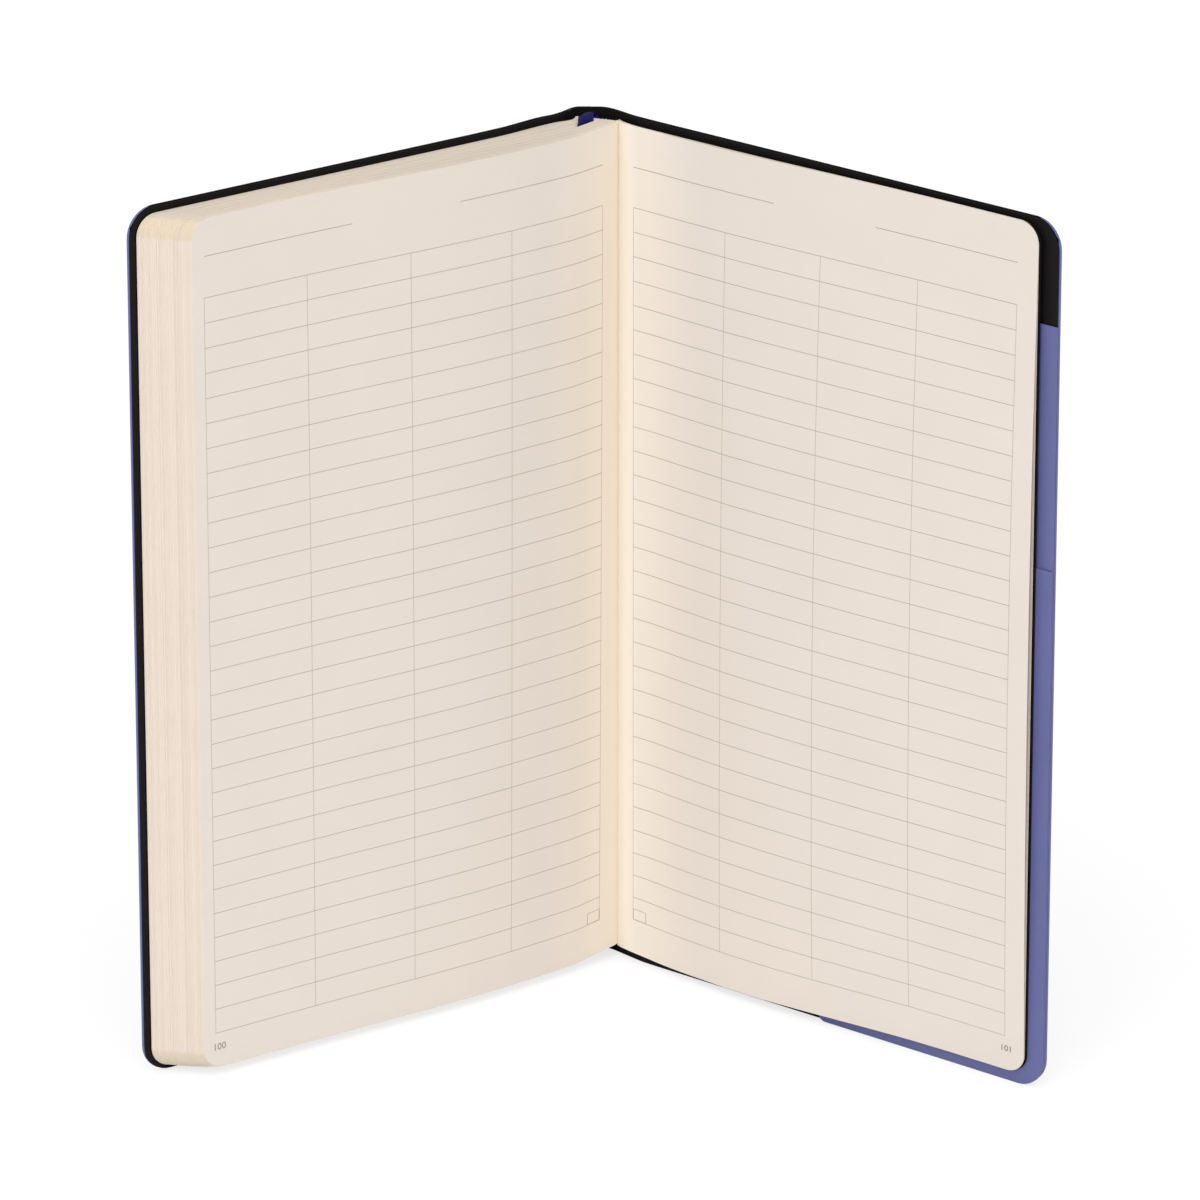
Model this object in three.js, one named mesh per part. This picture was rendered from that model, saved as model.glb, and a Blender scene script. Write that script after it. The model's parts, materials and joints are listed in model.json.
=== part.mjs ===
// A soft-covered sewn notebook that stands open on its tail, in millimetres. +Z is up the spine, the
// reader is on the -Y side and the spine skin's tail face holds the origin.
import * as THREE from "three";

// Covers
const COVER_HEIGHT = 210;
const PANEL_WIDTH = 121; // from the fold at the spine to the fore edge
const COVER_CORNER_RADIUS = 8;
const SKIN_THICKNESS = 0.5;
const CARD_THICKNESS = 0.4;
const PASTEDOWN_THICKNESS = 0.15;
const GLUE_GAP = 0.05;
const FOLD_SLIT = 0.4; // between a panel, or the spine, and the line it folds on
const CARD_INSET = 0.6;
const CARD_ROOT_INSET = 4;
const PASTEDOWN_INSET = 0.3;
const COVER_THICKNESS = SKIN_THICKNESS + CARD_THICKNESS + PASTEDOWN_THICKNESS + 2 * GLUE_GAP;

// Paper block
const TAIL_SQUARE = 1.2; // how far the covers stand past the leaves at the tail
const HEAD_SQUARE = 1.5;
const LEFT_FORE_SQUARE = 0.7;
const RIGHT_FORE_SQUARE = 4.3;
const LEAF_CORNER_RADIUS = 6.5;
const SECTION_COUNT = 12;
const SECTION_PITCH = 0.83;
const SECTION_GAP = 0.06;
const LEAF_THICKNESS = 0.11;
const FLYLEAF_THICKNESS = 0.15;
const BLOCK_HALF = (SECTION_COUNT * SECTION_PITCH) / 2;
const LEAF_BOTTOM = TAIL_SQUARE;
const LEAF_TOP = COVER_HEIGHT - HEAD_SQUARE;

// How the notebook stands open, seen from above
const LEFT_SLOPE = THREE.MathUtils.degToRad(35.43); // front cover forward of the spine's back
const RIGHT_SLOPE = THREE.MathUtils.degToRad(38.82);
const BEND_ANGLE = Math.PI / 2 - LEFT_SLOPE; // what each section turns to shut
const FIRST_BEND = new THREE.Vector2(-BLOCK_HALF, -5.08); // outer face of the first section
const BEND_STEP = SECTION_PITCH * Math.tan(BEND_ANGLE / 2);
const COVER_TO_BLOCK = COVER_THICKNESS + FLYLEAF_THICKNESS + 2 * GLUE_GAP;
const FRONT_FOLD = new THREE.Vector2(
  FIRST_BEND.x - COVER_TO_BLOCK,
  FIRST_BEND.y + COVER_TO_BLOCK * Math.tan(BEND_ANGLE / 2),
);
const BACK_FOLD = new THREE.Vector2(9.06, -6.84);

// Spine
const SPINE_BACK = SKIN_THICKNESS / 2;
const LEFT_SHOULDER = new THREE.Vector2(-5.75, -1.3); // where each shoulder turns into the spine's back
const LEFT_SHOULDER_ROUND = 1.85;
const RIGHT_SHOULDER = new THREE.Vector2(5.2, -3.6);
const RIGHT_SHOULDER_ROUND = 4.3;
const SPINE_LINER_THICKNESS = 0.2;
const SPINE_MULL_THICKNESS = 0.25;
const MULL_HEAD_SHORT = 16; // how far the mull stops below the leaves' head
const MULL_TAIL_SHORT = 8;
const MULL_OVERHANG = 0.5; // how far it stands past the liner on each side
const FOLD_BACK = -0.95; // back of the sections' folds
const FOLD_CLEARANCE = 0.12; // between the last folds and the skin's shoulder

// Right-hand leaves and pocket
const LEAF_GAP = 0.1; // between the pocket and the flyleaf
const LAST_LEAVES_THICKNESS = 0.3;
const FLYLEAF_ROOT = -0.9; // how far each sheet reaches past the cover's fold, towards the gutter
const LAST_LEAVES_ROOT = -1.1;
const TOP_LEAF_ROOT = -1.4;
const POCKET_WIDTH = 64.8;
const POCKET_PANEL_THICKNESS = 0.45;
const POCKET_BACK_HEIGHT = 185.5;
const POCKET_FRONT_HEIGHT = 127.4;
const POCKET_CORNER_RADIUS = 5;

// Ribbon marker
const RIBBON_WIDTH = 6;
const RIBBON_THICKNESS = 0.2;
const RIBBON_LEFT = -4.6;
const RIBBON_TOP_GAP = 0.15;
const RIBBON_BEHIND = 0.67; // how far forward of the origin its glued end is
const RIBBON_REACH = 7.5;
const RIBBON_GLUED_LENGTH = 14;
const RIBBON_BEND = 0.5;

const CURVE_STEPS = 10;

const skinMaterial = new THREE.MeshStandardMaterial({ color: 0x63689b, roughness: 0.6 });
const liningMaterial = new THREE.MeshStandardMaterial({ color: 0x211a1c, roughness: 0.85 });
const cardMaterial = new THREE.MeshStandardMaterial({ color: 0x8c8479, roughness: 0.9 });
const paperMaterial = new THREE.MeshStandardMaterial({ color: 0xeadfce, roughness: 0.9 });
const mullMaterial = new THREE.MeshStandardMaterial({ color: 0xd8d2c4, roughness: 0.95 });
const ribbonMaterial = new THREE.MeshStandardMaterial({ color: 0x14148c, roughness: 0.4 });

const notebook = new THREE.Group();
notebook.name = "notebook";

function addMesh(name, geometry, material) {
  const mesh = new THREE.Mesh(geometry, material);
  mesh.name = name;
  notebook.add(mesh);
}

// A side is a folding direction: `along` runs from the fold to the fore edge and `inward` towards the reader.
function makeSide(origin, angle, readerOnLeft) {
  const along = new THREE.Vector3(Math.cos(angle), Math.sin(angle), 0);
  const up = new THREE.Vector3(0, 0, 1);
  const across = along.clone().cross(up);
  const inward = readerOnLeft ? across.clone().negate() : across.clone();
  return { origin, along, up, across, inward, readerOnLeft };
}

// The outline of a sheet in its own plane, rounded at the two fore-edge corners and square at the fold.
function sheetOutline({ from, to, bottom, top, foreRadius, rootRadius = 0, topRadius = foreRadius }) {
  const shape = new THREE.Shape();
  shape.moveTo(from + rootRadius, bottom);
  shape.lineTo(to - foreRadius, bottom);
  shape.absarc(to - foreRadius, bottom + foreRadius, foreRadius, -Math.PI / 2, 0, false);
  if (topRadius > 0) {
    shape.lineTo(to, top - topRadius);
    shape.absarc(to - topRadius, top - topRadius, topRadius, 0, Math.PI / 2, false);
  } else {
    shape.lineTo(to, top);
  }
  shape.lineTo(from, top);
  if (rootRadius > 0) {
    shape.lineTo(from, bottom + rootRadius);
    shape.absarc(from + rootRadius, bottom + rootRadius, rootRadius, Math.PI, 1.5 * Math.PI, false);
  } else {
    shape.lineTo(from, bottom);
  }
  return shape;
}

// A flat sheet on a side, its outer face `depth` inward of the side's own line.
function addSheet(name, side, depth, thickness, outline, material) {
  const geometry = new THREE.ExtrudeGeometry(sheetOutline(outline), {
    depth: thickness,
    bevelEnabled: false,
    curveSegments: CURVE_STEPS,
  });
  const start = side.readerOnLeft ? -(depth + thickness) : depth;
  const placed = new THREE.Matrix4().makeBasis(side.along, side.up, side.across);
  const base = new THREE.Vector3(side.origin.x, side.origin.y, 0);
  placed.setPosition(base.addScaledVector(side.across, start));
  geometry.applyMatrix4(placed);
  addMesh(name, geometry, material);
}

// A flat-ended bar of rectangular plan, from the tail square to the head square.
function addBar(name, left, right, front, back, bottom, top, material) {
  const geometry = new THREE.BoxGeometry(right - left, back - front, top - bottom);
  geometry.translate((left + right) / 2, (front + back) / 2, (bottom + top) / 2);
  addMesh(name, geometry, material);
}

// Thickens an open line of plan points to one side and returns the closed outline.
function thickened(points, thickness) {
  const offsetPoints = points.map((point, index) => {
    const before = points[Math.max(index - 1, 0)];
    const after = points[Math.min(index + 1, points.length - 1)];
    const tangent = after.clone().sub(before).normalize();
    const normal = new THREE.Vector2(tangent.y, -tangent.x);
    return point.clone().addScaledVector(normal, thickness);
  });
  return new THREE.Shape([...points, ...offsetPoints.reverse()]);
}

// The outer line of the spine skin, from the front cover's fold round the back to the other cover's.
function spineLine() {
  const line = new THREE.Path();
  const leftStart = FRONT_FOLD.clone().lerp(LEFT_SHOULDER, FOLD_SLIT / FRONT_FOLD.distanceTo(LEFT_SHOULDER));
  const rightEnd = BACK_FOLD.clone().lerp(RIGHT_SHOULDER, FOLD_SLIT / BACK_FOLD.distanceTo(RIGHT_SHOULDER));
  const flatLeft = LEFT_SHOULDER.x + LEFT_SHOULDER_ROUND;
  const flatRight = RIGHT_SHOULDER.x - RIGHT_SHOULDER_ROUND;
  line.moveTo(leftStart.x, leftStart.y);
  line.lineTo(LEFT_SHOULDER.x, LEFT_SHOULDER.y);
  line.quadraticCurveTo(LEFT_SHOULDER.x, SPINE_BACK, flatLeft, SPINE_BACK);
  line.lineTo(flatRight, SPINE_BACK);
  line.quadraticCurveTo((flatRight + RIGHT_SHOULDER.x) / 2, SPINE_BACK, RIGHT_SHOULDER.x, RIGHT_SHOULDER.y);
  line.lineTo(rightEnd.x, rightEnd.y);
  return line.getPoints(CURVE_STEPS);
}

function makeSpine() {
  const geometry = new THREE.ExtrudeGeometry(thickened(spineLine(), SKIN_THICKNESS), {
    depth: COVER_HEIGHT,
    bevelEnabled: false,
  });
  addMesh("spine_skin", geometry, skinMaterial);
  const linerLeft = LEFT_SHOULDER.x + LEFT_SHOULDER_ROUND;
  const linerRight = RIGHT_SHOULDER.x - RIGHT_SHOULDER_ROUND;
  const linerBack = -SPINE_BACK - GLUE_GAP;
  const linerFront = linerBack - SPINE_LINER_THICKNESS;
  addBar("spine_liner", linerLeft, linerRight, linerFront, linerBack, PASTEDOWN_INSET,
    COVER_HEIGHT - PASTEDOWN_INSET, liningMaterial);
  const mullBack = linerFront - GLUE_GAP;
  addBar("spine_mull", linerLeft - MULL_OVERHANG, linerRight + MULL_OVERHANG,
    mullBack - SPINE_MULL_THICKNESS, mullBack, LEAF_BOTTOM + MULL_TAIL_SHORT,
    LEAF_TOP - MULL_HEAD_SHORT, mullMaterial);
}

// The furthest back a fold can start where its right-hand face is at x, clear of the skin's shoulder.
function foldBackAt(x) {
  const line = spineLine();
  const next = line.findIndex((point, index) => index > 0 && point.x >= x && line[index - 1].x < x);
  const [a, b] = [line[next - 1], line[next]];
  const outer = a.y + ((b.y - a.y) * (x - a.x)) / (b.x - a.x);
  const through = (SKIN_THICKNESS * a.distanceTo(b)) / (b.x - a.x); // the skin's depth along Y there
  return Math.min(FOLD_BACK, outer - through - FOLD_CLEARANCE);
}

// Each section is a short fold bound to the spine and the leaves that turn on it. The leaves of all
// the sections are one length, so their fore edges are stepped here and level when shut.
function makeSections() {
  const side = makeSide(FIRST_BEND, Math.PI + LEFT_SLOPE, true);
  const foldAhead = FRONT_FOLD.clone().sub(FIRST_BEND).dot(side.along);
  const reach = PANEL_WIDTH + foldAhead - LEFT_FORE_SQUARE;
  for (let k = 1; k <= SECTION_COUNT; k += 1) {
    const label = String(k).padStart(2, "0");
    const left = FIRST_BEND.x + (k - 1) * SECTION_PITCH + SECTION_GAP / 2;
    const right = left + SECTION_PITCH - SECTION_GAP;
    const front = FIRST_BEND.y - (k - 1) * BEND_STEP + GLUE_GAP;
    addBar(`section_${label}_fold`, left, right, front, foldBackAt(right), LEAF_BOTTOM, LEAF_TOP,
      paperMaterial);
    addSheet(`section_${label}_leaves`, side, (k - 1) * SECTION_PITCH + SECTION_GAP / 2,
      SECTION_PITCH - SECTION_GAP, {
        from: GLUE_GAP - (k - 1) * BEND_STEP,
        to: reach - (2 * k - 1) * BEND_STEP,
        bottom: LEAF_BOTTOM,
        top: LEAF_TOP,
        foreRadius: LEAF_CORNER_RADIUS,
      }, paperMaterial);
  }
  addSheet("front_flyleaf", side, -GLUE_GAP - FLYLEAF_THICKNESS, FLYLEAF_THICKNESS, {
    from: foldAhead + FOLD_SLIT,
    to: reach,
    bottom: LEAF_BOTTOM,
    top: LEAF_TOP,
    foreRadius: LEAF_CORNER_RADIUS,
  }, liningMaterial);
}

// The three layers of one cover, from the skin to the black sheet pasted inside it.
function makeCover(prefix, side) {
  const cardDepth = SKIN_THICKNESS + GLUE_GAP;
  const pastedownDepth = cardDepth + CARD_THICKNESS + GLUE_GAP;
  addSheet(`${prefix}_cover_skin`, side, 0, SKIN_THICKNESS, {
    from: FOLD_SLIT,
    to: PANEL_WIDTH,
    bottom: 0,
    top: COVER_HEIGHT,
    foreRadius: COVER_CORNER_RADIUS,
  }, skinMaterial);
  addSheet(`${prefix}_card`, side, cardDepth, CARD_THICKNESS, {
    from: CARD_ROOT_INSET,
    to: PANEL_WIDTH - CARD_INSET,
    bottom: CARD_INSET,
    top: COVER_HEIGHT - CARD_INSET,
    foreRadius: COVER_CORNER_RADIUS - CARD_INSET,
  }, cardMaterial);
  addSheet(`${prefix}_pastedown`, side, pastedownDepth, PASTEDOWN_THICKNESS, {
    from: 2 * FOLD_SLIT,
    to: PANEL_WIDTH - PASTEDOWN_INSET,
    bottom: PASTEDOWN_INSET,
    top: COVER_HEIGHT - PASTEDOWN_INSET,
    foreRadius: COVER_CORNER_RADIUS - PASTEDOWN_INSET,
  }, liningMaterial);
}

function makeFrontCover() {
  makeCover("front", makeSide(FRONT_FOLD, Math.PI + LEFT_SLOPE, true));
}

function makeBackCover() {
  const side = makeSide(BACK_FOLD, -RIGHT_SLOPE, false);
  makeCover("back", side);
  const pocketDepth = COVER_THICKNESS + GLUE_GAP;
  const pocket = {
    from: PANEL_WIDTH - POCKET_WIDTH,
    to: PANEL_WIDTH,
    bottom: 0,
    foreRadius: COVER_CORNER_RADIUS,
    rootRadius: POCKET_CORNER_RADIUS,
    topRadius: 0,
  };
  addSheet("pocket_back_panel", side, pocketDepth, POCKET_PANEL_THICKNESS,
    { ...pocket, top: POCKET_BACK_HEIGHT }, skinMaterial);
  addSheet("pocket_front_panel", side, pocketDepth + POCKET_PANEL_THICKNESS + GLUE_GAP,
    POCKET_PANEL_THICKNESS, { ...pocket, top: POCKET_FRONT_HEIGHT }, skinMaterial);
  const leaf = {
    to: PANEL_WIDTH - RIGHT_FORE_SQUARE,
    bottom: LEAF_BOTTOM,
    top: LEAF_TOP,
    foreRadius: LEAF_CORNER_RADIUS,
  };
  const flyleafDepth = pocketDepth + 2 * POCKET_PANEL_THICKNESS + GLUE_GAP + LEAF_GAP;
  const lastDepth = flyleafDepth + FLYLEAF_THICKNESS + GLUE_GAP;
  const topDepth = lastDepth + LAST_LEAVES_THICKNESS + GLUE_GAP;
  addSheet("back_flyleaf", side, flyleafDepth, FLYLEAF_THICKNESS,
    { ...leaf, from: FLYLEAF_ROOT }, liningMaterial);
  addSheet("last_leaves", side, lastDepth, LAST_LEAVES_THICKNESS,
    { ...leaf, from: LAST_LEAVES_ROOT }, paperMaterial);
  addSheet("top_leaf", side, topDepth, LEAF_THICKNESS, { ...leaf, from: TOP_LEAF_ROOT }, paperMaterial);
}

// The ribbon comes up behind the folds and lies forward over the head of the leaves.
function makeRibbon() {
  const top = LEAF_TOP + RIBBON_TOP_GAP + RIBBON_THICKNESS;
  const line = new THREE.Path();
  line.moveTo(RIBBON_BEHIND, LEAF_TOP - RIBBON_GLUED_LENGTH);
  line.lineTo(RIBBON_BEHIND, top - RIBBON_BEND);
  line.quadraticCurveTo(RIBBON_BEHIND, top, RIBBON_BEHIND + RIBBON_BEND, top);
  line.lineTo(RIBBON_REACH, top);
  const geometry = new THREE.ExtrudeGeometry(thickened(line.getPoints(4), RIBBON_THICKNESS), {
    depth: RIBBON_WIDTH,
    bevelEnabled: false,
  });
  const forward = new THREE.Vector3(0, -1, 0);
  const up = new THREE.Vector3(0, 0, 1);
  const placed = new THREE.Matrix4().makeBasis(forward, up, forward.clone().cross(up));
  placed.setPosition(RIBBON_LEFT + RIBBON_WIDTH, 0, 0);
  geometry.applyMatrix4(placed);
  addMesh("ribbon_marker", geometry, ribbonMaterial);
}

makeSpine();
makeSections();
makeFrontCover();
makeBackCover();
makeRibbon();

export default notebook;
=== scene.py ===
import bmesh
import bpy
import json
import math
import random
from bisect import bisect_right
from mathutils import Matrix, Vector
from mathutils.geometry import interpolate_bezier


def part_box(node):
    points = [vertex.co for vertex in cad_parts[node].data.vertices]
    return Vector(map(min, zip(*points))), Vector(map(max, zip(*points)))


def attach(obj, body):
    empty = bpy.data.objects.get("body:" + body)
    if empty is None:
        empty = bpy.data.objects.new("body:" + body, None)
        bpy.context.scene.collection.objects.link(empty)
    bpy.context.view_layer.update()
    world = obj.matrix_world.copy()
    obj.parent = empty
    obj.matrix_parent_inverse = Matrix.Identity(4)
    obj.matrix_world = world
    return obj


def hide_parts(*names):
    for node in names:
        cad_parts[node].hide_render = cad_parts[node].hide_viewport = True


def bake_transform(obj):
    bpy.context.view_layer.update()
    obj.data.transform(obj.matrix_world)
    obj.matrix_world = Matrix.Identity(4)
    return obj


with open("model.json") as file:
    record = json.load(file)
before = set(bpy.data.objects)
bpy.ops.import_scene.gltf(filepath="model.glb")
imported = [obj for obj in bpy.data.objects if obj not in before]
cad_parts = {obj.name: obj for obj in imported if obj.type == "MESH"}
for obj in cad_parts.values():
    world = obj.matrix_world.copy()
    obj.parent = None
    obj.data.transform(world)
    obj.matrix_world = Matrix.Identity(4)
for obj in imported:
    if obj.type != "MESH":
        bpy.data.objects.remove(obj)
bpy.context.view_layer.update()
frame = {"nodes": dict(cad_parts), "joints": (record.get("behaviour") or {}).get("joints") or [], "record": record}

mm = 0.001
joints = {joint["name"]: joint for joint in frame["joints"]}
mounts = {mount["name"]: mount for mount in frame["record"]["mounts"]}


def plan(x, y):
    # a place seen from above, given in millimetres
    return Vector((x * mm, y * mm))


def planOf(values):
    # the same, out of three values in metres
    return Vector((values[0], values[1]))


def mix(a, b, share):
    return a + (b - a) * share


def ease(low, high, value):
    # 0 below low, 1 above high, smooth between
    share = min(max((value - low) / (high - low), 0), 1)
    return share * share * (3 - 2 * share)


def reachOf(node, fold, along):
    # how far one of the frame's solids reaches out from its fold
    return max((planOf(v.co) - fold).dot(along) for v in frame["nodes"][node].data.vertices)


# where the frame says the covers, the folds and the sections are
frontFold = planOf(joints["front_cover_fold"]["pos_m"])
backFold = planOf(joints["back_cover_fold"]["pos_m"])
frontIn = -planOf(mounts["front_cover_face"]["axis"])
backIn = -planOf(mounts["back_cover_face"]["axis"])
frontAlong = Vector((frontIn.y, -frontIn.x))
backAlong = Vector((-backIn.y, backIn.x))
pivots = [planOf(joint["pos_m"]) for name, joint in sorted(joints.items()) if name.startswith("section_")]
sectionCount = len(pivots)
sectionPitch = pivots[1].x - pivots[0].x
bendStep = pivots[0].y - pivots[1].y
firstBend = pivots[0] + Vector((-sectionPitch, bendStep))
blockDepth = sectionCount * sectionPitch
leafBottom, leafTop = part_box("top_leaf")[0].z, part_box("top_leaf")[1].z
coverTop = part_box("front_cover_skin")[1].z
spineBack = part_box("spine_skin")[1].y
frontEdge = reachOf("front_cover_skin", frontFold, frontAlong)
backEdge = reachOf("back_cover_skin", backFold, backAlong)
rightLeafEnd = reachOf("top_leaf", backFold, backAlong)


class PlanLine:
    # a line seen from above, measured along itself; past an end it runs straight on
    def __init__(self, points):
        ways = [b - a for a, b in zip(points, points[1:])]
        headings = [way.normalized() for way in ways]
        self.points = points
        self.reach = [0.0]
        for way in ways:
            self.reach.append(self.reach[-1] + way.length)
        between = [(a + b).normalized() for a, b in zip(headings, headings[1:])]
        self.headings = [headings[0]] + between + [headings[-1]]
        self.length = self.reach[-1]

    def at(self, distance):
        index = min(max(bisect_right(self.reach, distance) - 1, 0), len(self.points) - 2)
        a, b = self.points[index], self.points[index + 1]
        past = distance - self.reach[index]
        share = min(max(past / (b - a).length, 0), 1)
        heading = self.headings[index].lerp(self.headings[index + 1], share).normalized()
        return a + (b - a).normalized() * past, heading

    def nearest(self, place, tries=400):
        # how far along the line comes closest to a place
        distances = [self.length * n / tries for n in range(tries)]
        return min(distances, key=lambda distance: (self.at(distance)[0] - place).length)


def curve(start, startHandle, endHandle, end, count):
    # the points of a smooth curve, seen from above
    ends = [p.to_3d() for p in (start, startHandle, endHandle, end)]
    return [p.to_2d() for p in interpolate_bezier(*ends, count)]


def toLinear(colour):
    # a colour written as 0 to 255 per channel, in the renderer's own units
    shares = [c / 255 for c in colour]
    return tuple(s / 12.92 if s <= 0.04045 else ((s + 0.055) / 1.055) ** 2.4 for s in shares) + (1.0,)


class Wire:
    # a socket in a node tree; arithmetic on it adds Math nodes
    def __init__(self, nodes, socket):
        self.nodes = nodes
        self.socket = socket

    def maths(self, operation, *values):
        return self.nodes.node("Math", {"operation": operation}, values)

    def __add__(self, other):
        return self.maths("ADD", self, other)

    __radd__ = __add__

    def __sub__(self, other):
        return self.maths("SUBTRACT", self, other)

    def __rsub__(self, other):
        return self.maths("SUBTRACT", other, self)

    def __mul__(self, other):
        return self.maths("MULTIPLY", self, other)

    __rmul__ = __mul__

    def __truediv__(self, other):
        return self.maths("DIVIDE", self, other)

    def absolute(self):
        return self.maths("ABSOLUTE", self)

    def offMiddle(self):
        # how far it is from the middle between two whole numbers
        return (self.maths("FRACT", self) - 0.5).absolute()

    def atLeast(self, other):
        return self.maths("MAXIMUM", self, other)

    def atMost(self, other):
        return self.maths("MINIMUM", self, other)

    def rise(self, level, soft):
        # 0 below a level and 1 above it
        settings = {"interpolation_type": "SMOOTHSTEP"}
        values = {"Value": self, "From Min": level - soft, "From Max": level + soft}
        return self.nodes.node("MapRange", settings, values)

    def between(self, low, high, soft=0.02):
        return self.rise(low, soft) * (1 - self.rise(high, soft))


class Nodes:
    # the node tree of a material or of the world
    def __init__(self, owner):
        owner.use_nodes = True
        self.tree = owner.node_tree

    def node(self, kind, settings=None, inputs=(), output=0):
        made = self.tree.nodes.new("ShaderNode" + kind)
        for key, value in (settings or {}).items():
            setattr(made, key, value)
        pairs = inputs.items() if isinstance(inputs, dict) else enumerate(inputs)
        for key, value in pairs:
            if isinstance(value, Wire):
                self.tree.links.new(value.socket, made.inputs[key])
            else:
                made.inputs[key].default_value = value
        return Wire(self, made.outputs[output])


class Finish(Nodes):
    # a material with one Principled shader; its look's fixed values go straight onto the sockets
    def __init__(self, name, look):
        self.look = look
        self.material = bpy.data.materials.new(name)
        super().__init__(self.material)
        self.shader = self.tree.nodes["Principled BSDF"]
        for socket, value in look["fixed"].items():
            self.shader.inputs[socket].default_value = value

    def flat(self):
        # the piece's own unrolled coordinates, in millimetres
        uv = self.node("UVMap", {"uv_map": "flat"})
        return self.node("VectorMath", {"operation": "SCALE"}, {"Vector": uv, "Scale": 1 / mm})

    def part(self, vector, axis):
        return self.node("SeparateXYZ", None, [vector], axis)

    def stretch(self, vector, factors):
        return self.node("VectorMath", {"operation": "MULTIPLY"}, [vector, factors])

    def noise(self, vector, scale, detail, roughness=0.5):
        values = {"Vector": vector, "Scale": scale, "Detail": detail, "Roughness": roughness}
        return self.node("TexNoise", None, values)

    def blendColours(self, share, a, b):
        # from a to b, each a wire or a colour written as 0 to 255
        a, b = (end if isinstance(end, Wire) else toLinear(end) for end in (a, b))
        return self.node("Mix", {"data_type": "RGBA"}, {"Factor": share, 6: a, 7: b}, 2)

    def tone(self, share):
        return self.blendColours(share, self.look["dark"], self.look["light"])

    def into(self, socket, wire):
        self.tree.links.new(wire.socket, self.shader.inputs[socket])

    def join(self, colour, height=None, gloss=None):
        # the colour, the bump and the place in the look's roughness go to the shader
        self.into("Base Color", colour)
        if gloss:
            self.into("Roughness", mix(*self.look["roughness"], gloss))
        if height:
            values = {"Height": height, "Distance": self.look["depth"], "Strength": self.look["bump"]}
            self.into("Normal", self.node("Bump", None, values))
        return self.material


# finishes: lengths in millimetres, except the depth of a bump; a noise has scale, detail and roughness
skinLook = {
    "dark": (75, 80, 130), "light": (93, 98, 147),
    "fixed": {"IOR": 1.45, "Sheen Weight": 0.06, "Specular IOR Level": 0.45},
    "roughness": (0.42, 0.56),
    "grainScale": 1.9,
    "creaseScale": 1.7,  # times the grain's
    "poreScale": 6,
    "grainMix": (0.7, 0.8, 0.15),  # pebbles, creases and pores
    "patches": (0.03, 4),
    "colourMix": (0.7, 0.25),  # patches and grain
    "depth": 0.05 * mm, "bump": 0.55,
}


def makeSkinFinish():
    look = skinLook
    finish = Finish("cover_skin", look)
    flat, scale = finish.flat(), look["grainScale"]
    patches = finish.noise(flat, *look["patches"])
    pebbles = finish.node("TexVoronoi", {"feature": "SMOOTH_F1"}, {"Vector": flat, "Scale": scale})
    creases = finish.noise(flat, scale * look["creaseScale"], 5, 0.6)
    pores = finish.noise(flat, scale * look["poreScale"], 3, 0.6)
    pebbleShare, creaseShare, poreShare = look["grainMix"]
    grain = pebbles * pebbleShare + creases * creaseShare + pores * poreShare
    patchShare, grainShare = look["colourMix"]
    colour = finish.tone(patches * patchShare + grain * grainShare)
    return finish.join(colour, grain, creases)


def fibrous(finish, flat):
    # cloudy formation with fine fibres, and the share between the two colours that they make
    look = finish.look
    clouds = finish.noise(flat, *look["clouds"])
    fibres = finish.noise(finish.stretch(flat, look["lay"]), *look["fibres"])
    share = clouds * look["cloudShare"] + fibres * (1 - look["cloudShare"])
    return share, clouds, fibres


liningLook = {
    "dark": (7, 5, 5), "light": (17, 14, 14),
    "fixed": {"Specular IOR Level": 0.16},
    "roughness": (0.6, 0.75),
    "clouds": (0.12, 5, 0.6),
    "fibres": (2.4, 6, 0.65),
    "lay": (1.0, 3.2, 1.0),
    "cloudShare": 0.6,
    "depth": 0.012 * mm, "bump": 0.6,
}


def makeLiningFinish(name, lift=0.0):
    finish = Finish(name, liningLook)
    share, clouds, fibres = fibrous(finish, finish.flat())
    return finish.join(finish.tone(share + lift), fibres, clouds)


paperLook = {
    "dark": (208, 199, 190), "light": (216, 207, 199),
    "fixed": {"Roughness": 0.86, "Specular IOR Level": 0.25},
    "clouds": (0.05, 4, 0.55),
    "fibres": (1.6, 6, 0.7),
    "lay": (1.0, 2.6, 1.0),
    "cloudShare": 0.7,
    "depth": 0.006 * mm, "bump": 0.5,
}


def makePaperFinish():
    finish = Finish("leaf_paper", paperLook)
    share, clouds, fibres = fibrous(finish, finish.flat())
    return finish.join(finish.tone(share), fibres)


edgeLook = {
    "straight": (246, 232, 217),
    "corner": (234, 216, 184),
    # painted shade: the leaves' head edges, the top of the block, are painted darker
    "head": (212, 201, 188),
    "shade": (208, 190, 160),
    "fixed": {"Roughness": 0.9, "Specular IOR Level": 0.2},
    "cornerSize": 4.8, "cornerSoft": 0.5,
    "headShadeSize": 0.7, "headShadeSoft": 0.4,
    "toneShare": 0.32,  # how much the leaves' own tones show
    "dust": (0.9, 4, 0.6),
    "dustLay": (1.0, 0.12, 1.0),
    "dustShare": 0.12,
    "grain": (7, 4, 0.6),
    "depth": 0.01 * mm, "bump": 0.5,
}


def makeLeafEdgeFinish():
    look = edgeLook
    finish = Finish("leaf_edges", look)
    flat = finish.flat()
    height, head, tail = finish.part(flat, 1), leafTop / mm, leafBottom / mm
    tone = finish.node("Attribute", {"attribute_name": "leafTone"}, (), 2)
    inHead = height.rise(head - look["cornerSize"], look["cornerSoft"])
    inTail = 1 - height.rise(tail + look["cornerSize"], look["cornerSoft"])
    base = finish.blendColours(inHead + inTail, look["straight"], look["corner"])
    # the head edges painted darker: painted shade on the top of the block
    base = finish.blendColours(height.rise(head - look["headShadeSize"], look["headShadeSoft"]), base, look["head"])
    dust = finish.noise(finish.stretch(flat, look["dustLay"]), *look["dust"])
    streaks = tone * look["toneShare"] + dust * look["dustShare"]
    colour = finish.blendColours(streaks, base, look["shade"])
    return finish.join(colour, finish.noise(flat, *look["grain"]))


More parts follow.
